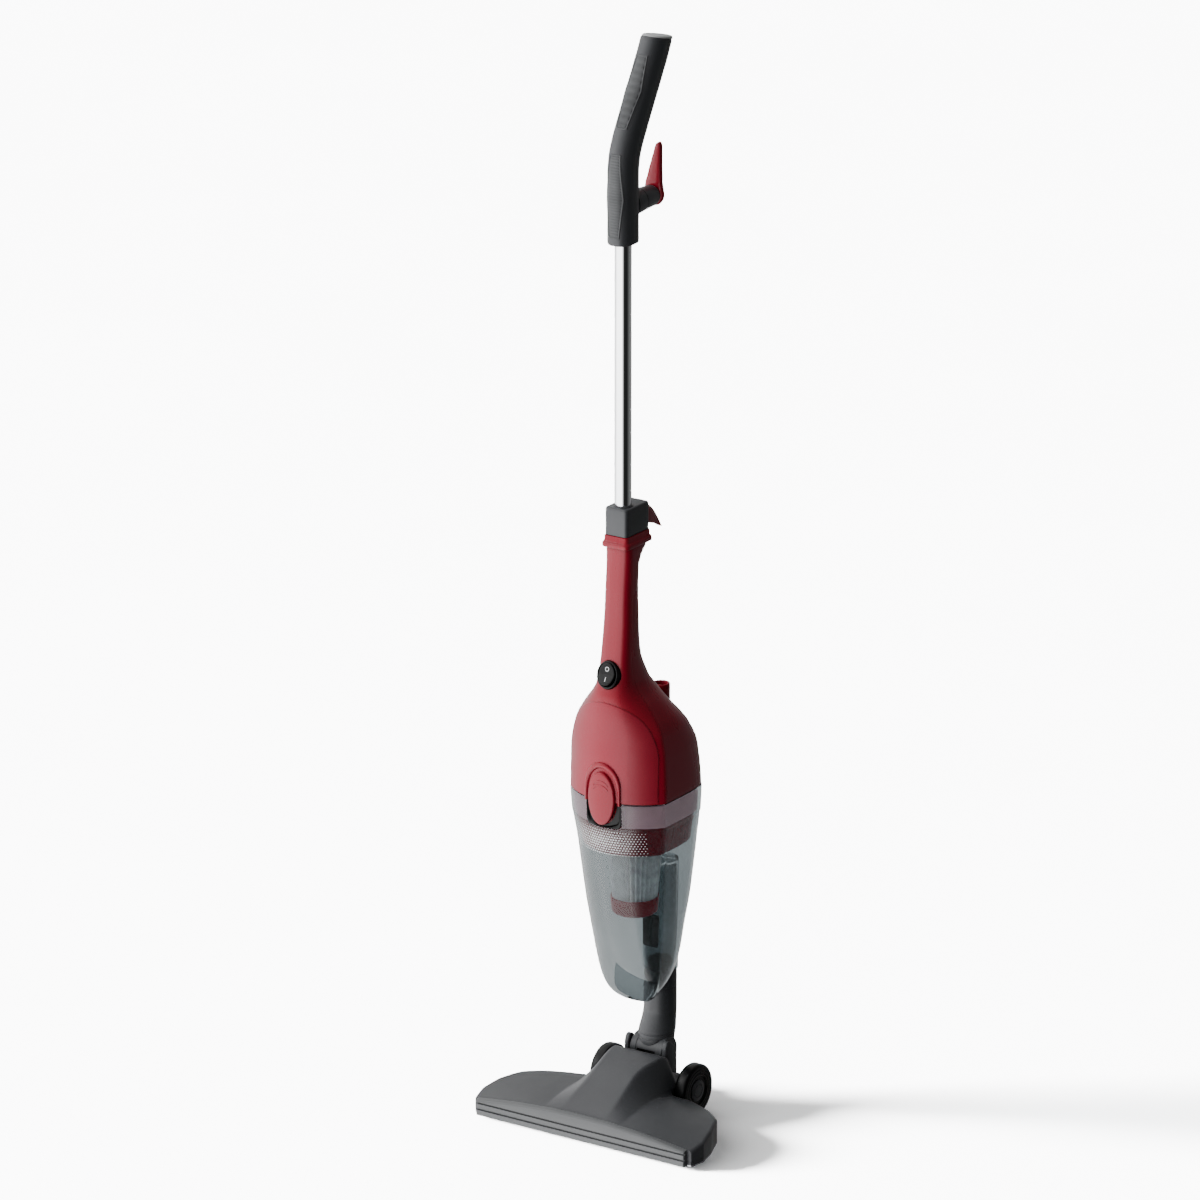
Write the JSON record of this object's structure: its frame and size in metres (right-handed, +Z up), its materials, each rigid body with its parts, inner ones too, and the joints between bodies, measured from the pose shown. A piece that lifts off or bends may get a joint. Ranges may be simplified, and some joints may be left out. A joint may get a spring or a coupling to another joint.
{
  "type": "upright stick vacuum cleaner",
  "caption": "Upright stick vacuum cleaner: wheeled floor head, tilting neck, clear dust bin, motor hand unit, chrome tube and angled grip.",
  "frame": {"origin": "on the floor, at the middle of the cleaner's width and depth", "axes": "+Z up, -Y towards the front edge of the floor head, +X to the cleaner's side, across its plane of symmetry"},
  "size_m": [0.27, 0.17, 1.13],
  "materials": {
    "dark_grey_plastic": "fine satin moulding texture",
    "bumper_grey_plastic": "satin, lighter grey",
    "light_grey_plastic": "satin",
    "red_plastic": "glossy deep crimson",
    "black_plastic": "satin black",
    "dark_rubber": "matt soft rubber",
    "foam": "open-cell foam",
    "smoky_clear_plastic": "clear smoky plastic, polished",
    "chromed_steel": "mirror chrome",
    "bare_steel": "plain zinc-plated steel",
    "impeller_aluminium": "pressed sheet",
    "copper_windings": "enamelled copper wire",
    "filter_paper": "folded filter paper",
    "bristles": "nylon bristle strip"
  },
  "bodies": {
    "floor_head": {"head_cover": "dark_grey_plastic", "head_base": "dark_grey_plastic", "sole_plate": "bare_steel", "front_bumper": "bumper_grey_plastic", "brush_strip_front": "bristles", "brush_strip_rear": "bristles", "glide_left": "dark_rubber", "glide_right": "dark_rubber", "axle_left": "bare_steel", "axle_right": "bare_steel", "neck_ear_left": "dark_grey_plastic", "neck_ear_right": "dark_grey_plastic", "base_screw_1": "bare_steel", "base_screw_2": "bare_steel", "base_screw_3": "bare_steel", "base_screw_4": "bare_steel"},
    "wheel_left": {"wheel_left": "black_plastic", "hub_cap_left": "dark_grey_plastic"},
    "wheel_right": {"wheel_right": "black_plastic", "hub_cap_right": "dark_grey_plastic"},
    "neck": {"neck_tube": "dark_grey_plastic", "neck_barrel": "dark_grey_plastic", "neck_clip": "black_plastic"},
    "dust_bin": {"bin_shell": "smoky_clear_plastic", "inlet_duct": "smoky_clear_plastic"},
    "inlet_flap": {"inlet_flap": "dark_rubber"},
    "hand_unit": {"shell_front": "red_plastic", "shell_rear": "red_plastic", "badge_panel": "red_plastic", "button_bezel": "red_plastic", "switch_bezel": "black_plastic", "switch_body": "black_plastic", "neck_ring": "red_plastic", "cord_outlet": "red_plastic", "motor_base": "red_plastic", "rim_liner": "light_grey_plastic", "fan_housing": "bare_steel", "motor_can": "bare_steel", "stator": "bare_steel", "motor_mount": "dark_rubber", "exhaust_filter": "foam", "release_spring": "bare_steel"},
    "rotor": {"motor_shaft": "bare_steel", "impeller": "impeller_aluminium", "armature": "copper_windings"},
    "filter": {"filter_frame": "red_plastic", "filter_pleats": "filter_paper", "filter_cap": "red_plastic"},
    "release_button": {"release_button": "red_plastic"},
    "power_switch": {"power_switch": "black_plastic"},
    "stick": {"stick_collar": "dark_grey_plastic", "lower_cord_hook": "red_plastic", "extension_tube": "chromed_steel", "grip": "dark_grey_plastic", "grip_end_cap": "light_grey_plastic", "grip_insert_lower": "dark_rubber", "grip_insert_upper": "dark_rubber", "hook_post": "dark_grey_plastic"},
    "cord_hook": {"upper_cord_hook": "red_plastic"},
    "tube_button": {"tube_button": "black_plastic"}
  },
  "joints": [
    {"name": "wheel_left_spin", "type": "hinge", "parent": "floor_head", "child": "wheel_left", "pos_m": [-0.0514, 0.0474, 0.0276], "axis": [1, 0, 0], "continuous": true},
    {"name": "wheel_right_spin", "type": "hinge", "parent": "floor_head", "child": "wheel_right", "pos_m": [0.0514, 0.0474, 0.0276], "axis": [1, 0, 0], "continuous": true},
    {"name": "neck_tilt", "type": "hinge", "parent": "floor_head", "child": "neck", "pos_m": [0, 0.052, 0.061], "axis": [-1, 0, 0], "range_deg": [0, 80]},
    {"name": "bin_lift", "type": "slide", "parent": "neck", "child": "dust_bin", "axis": [0, 0, 1], "range_m": [0, 0.04]},
    {"name": "flap_swing", "type": "hinge", "parent": "dust_bin", "child": "inlet_flap", "pos_m": [0, 0.047, 0.2075], "axis": [-1, 0, 0], "range_deg": [0, 55]},
    {"name": "hand_unit_lift", "type": "slide", "parent": "dust_bin", "child": "hand_unit", "axis": [0, 0, 1], "range_m": [0, 0.15]},
    {"name": "release_press", "type": "slide", "parent": "hand_unit", "child": "release_button", "axis": [0, 1, 0], "range_m": [0, 0.0032], "stiffness_N_per_m": 600, "springref_m": -0.002, "deforming": ["release_spring"]},
    {"name": "switch_rock", "type": "hinge", "parent": "hand_unit", "child": "power_switch", "pos_m": [0, -0.0297, 0.487], "axis": [1, 0, 0], "range_deg": [0, 14]},
    {"name": "rotor_spin", "type": "hinge", "parent": "hand_unit", "child": "rotor", "pos_m": [0, 0.014, 0.4], "axis": [0, 0, 1], "continuous": true},
    {"name": "filter_pull", "type": "slide", "parent": "hand_unit", "child": "filter", "axis": [0, 0, -1], "range_m": [0, 0.025]},
    {"name": "stick_lift", "type": "slide", "parent": "hand_unit", "child": "stick", "axis": [0, 0, 1], "range_m": [0, 0.06]},
    {"name": "cord_hook_turn", "type": "hinge", "parent": "stick", "child": "cord_hook", "pos_m": [0, 0.049, 0.966], "axis": [0, 1, 0], "range_deg": [0, 180]},
    {"name": "tube_button_press", "type": "slide", "parent": "stick", "child": "tube_button", "axis": [0, -1, 0], "range_m": [0, 0.002], "stiffness_N_per_m": 400, "springref_m": -0.002}
  ]
}
